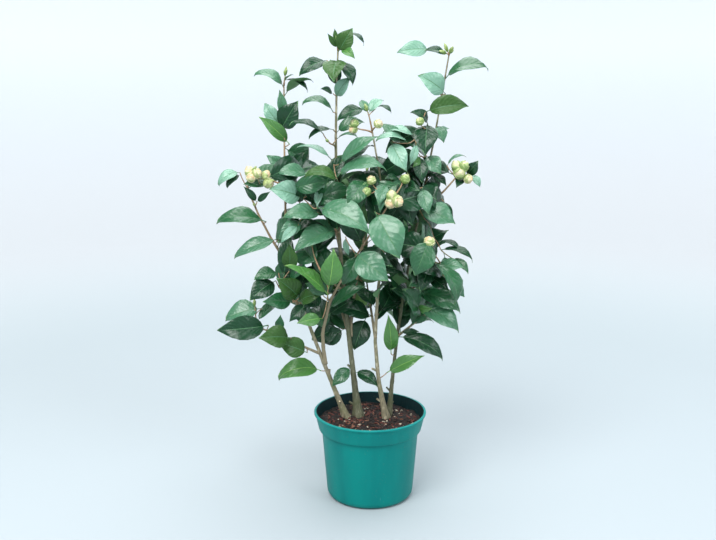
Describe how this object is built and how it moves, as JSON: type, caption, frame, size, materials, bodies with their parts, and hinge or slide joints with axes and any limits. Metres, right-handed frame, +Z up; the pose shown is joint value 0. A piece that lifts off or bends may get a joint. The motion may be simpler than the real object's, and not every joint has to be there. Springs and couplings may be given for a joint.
{
  "type": "potted camellia shrub",
  "caption": "Upright evergreen camellia shrub with bare lower stems, glossy leaf clusters and round flower buds, growing in its own round plastic pot.",
  "frame": {"origin": "centre of the pot's flat underside, on the level surface that the pot stands on", "axes": "+Z up through the pot and the shrub, -Y the open show side with the longest front leaves, +X to the right of that side"},
  "size_m": [0.519, 0.3477, 0.926],
  "materials": {
    "pot": "satin moulded plastic",
    "soil": "loose damp bark and peat",
    "bark": "smooth pale brown bark",
    "twig_bark": "young reddish brown bark",
    "foliage": "glossy leathery leaf"
  },
  "bodies": {
    "root": {"pot": "pot", "soil": "soil", "stem_centre": "bark", "stem_left": "bark", "stem_rear": "bark", "stem_right": "bark", "bough_front": "twig_bark", "bough_left_arm": "twig_bark", "bough_left_low": "twig_bark", "bough_left_shoot": "twig_bark", "bough_left_side": "twig_bark", "bough_rear_left_high": "twig_bark", "bough_rear_left_low": "twig_bark", "bough_rear_middle_high": "twig_bark", "bough_rear_middle_low": "twig_bark", "bough_rear_right_high": "twig_bark", "bough_rear_right_low": "twig_bark", "bough_right_arm": "twig_bark", "bough_right_low": "twig_bark", "bough_right_side": "twig_bark", "fork_centre": "twig_bark", "fork_left": "twig_bark", "leaves_centre_crown": "foliage", "leaves_centre_foot": "foliage", "leaves_centre_high": "foliage", "leaves_centre_low": "foliage", "leaves_centre_top": "foliage", "leaves_front": "foliage", "leaves_front_left": "foliage", "leaves_leader_side": "foliage", "leaves_leader_tip": "foliage", "leaves_leader_top": "foliage", "leaves_left_arm": "foliage", "leaves_left_arm_tip": "foliage", "leaves_left_crown": "foliage", "leaves_left_foot": "foliage", "leaves_left_low": "foliage", "leaves_left_low_front": "foliage", "leaves_left_middle": "foliage", "leaves_left_shoot": "foliage", "leaves_left_shoot_foot": "foliage", "leaves_left_shoot_tip": "foliage", "leaves_left_side": "foliage", "leaves_rear_left_high": "foliage", "leaves_rear_left_low": "foliage", "leaves_rear_middle_high": "foliage", "leaves_rear_middle_low": "foliage", "leaves_rear_right_high": "foliage", "leaves_rear_right_low": "foliage", "leaves_right_arm_tip": "foliage", "leaves_right_crown": "foliage", "leaves_right_front": "foliage", "leaves_right_inner": "foliage", "leaves_right_low": "foliage", "leaves_right_middle": "foliage", "leaves_right_shoulder": "foliage", "leaves_right_spray": "foliage", "leaves_right_tip": "foliage", "leaves_right_tip_foot": "foliage", "leaves_right_tip_side": "foliage"}
  },
  "joints": []
}
